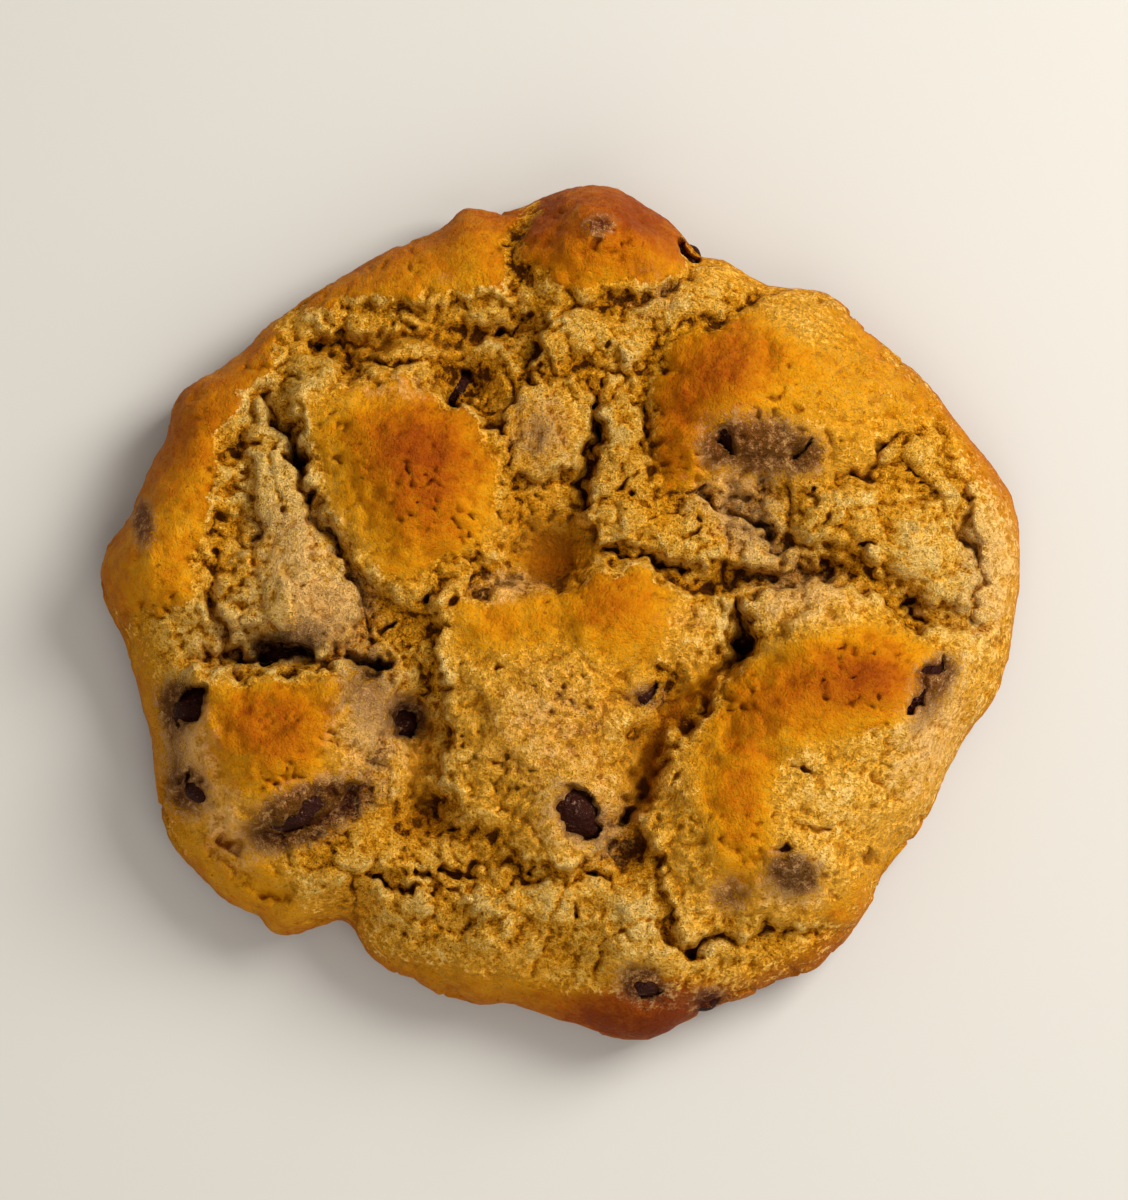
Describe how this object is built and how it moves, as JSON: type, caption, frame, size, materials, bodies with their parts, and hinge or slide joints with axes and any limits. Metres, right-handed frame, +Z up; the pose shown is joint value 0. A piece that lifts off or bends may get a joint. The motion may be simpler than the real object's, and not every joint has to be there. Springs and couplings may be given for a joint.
{
  "type": "chocolate chip cookie",
  "caption": "Round home-baked cookie with a cracked, lumpy golden crust, chocolate chips showing in it and a flat underside.",
  "frame": {"origin": "on the resting plane, under the middle of the cookie's outline", "axes": "+Z up out of the crust, +X along the cookie's longest side, +Y across it"},
  "size_m": [0.092, 0.0857, 0.0185],
  "materials": {
    "baked_dough": "baked cookie dough: golden crust browned on its raised plates, pale torn crumb between them",
    "chocolate": "baked dark chocolate, dull with a soft bloom"
  },
  "bodies": {
    "root": {"dough": "baked_dough", "chip_northeast": "chocolate", "chip_east": "chocolate", "chip_southeast": "chocolate", "chip_middle": "chocolate", "chip_southwest": "chocolate", "chip_west": "chocolate", "chip_west_rim": "chocolate", "chip_midwest": "chocolate", "chip_small": "chocolate", "chip_south": "chocolate", "chip_south_rim": "chocolate", "chip_north_rim": "chocolate", "chip_north_hollow": "chocolate", "chip_deep": "chocolate"}
  },
  "joints": []
}
